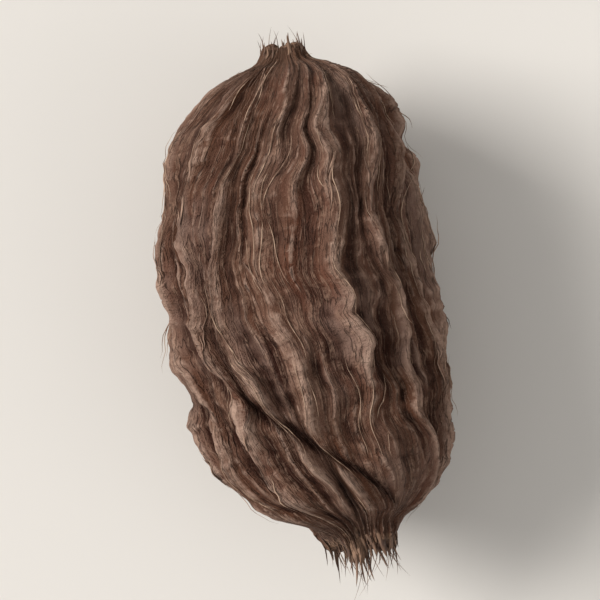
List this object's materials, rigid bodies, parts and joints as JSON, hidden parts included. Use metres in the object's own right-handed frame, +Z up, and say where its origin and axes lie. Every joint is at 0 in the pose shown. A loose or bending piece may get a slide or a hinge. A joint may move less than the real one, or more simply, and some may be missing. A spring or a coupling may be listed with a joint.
{
  "type": "black cardamom pod",
  "caption": "Dried black cardamom pod lying on its side: an egg-shaped brown husk with wavy lengthwise ribs, a broken stalk at one end and a short ragged beak at the other.",
  "frame": {"origin": "on the table, under the middle of the pod's bounding box", "axes": "+X along the pod from the stalk to the beak, +Y across it, +Z up from the side that it lies on"},
  "size_m": [0.0334, 0.0178, 0.0174],
  "materials": {
    "husk": "dull, dry and fibrous, with paler rib crests and darker furrows"
  },
  "bodies": {
    "root": {"pod": "husk"}
  },
  "joints": []
}
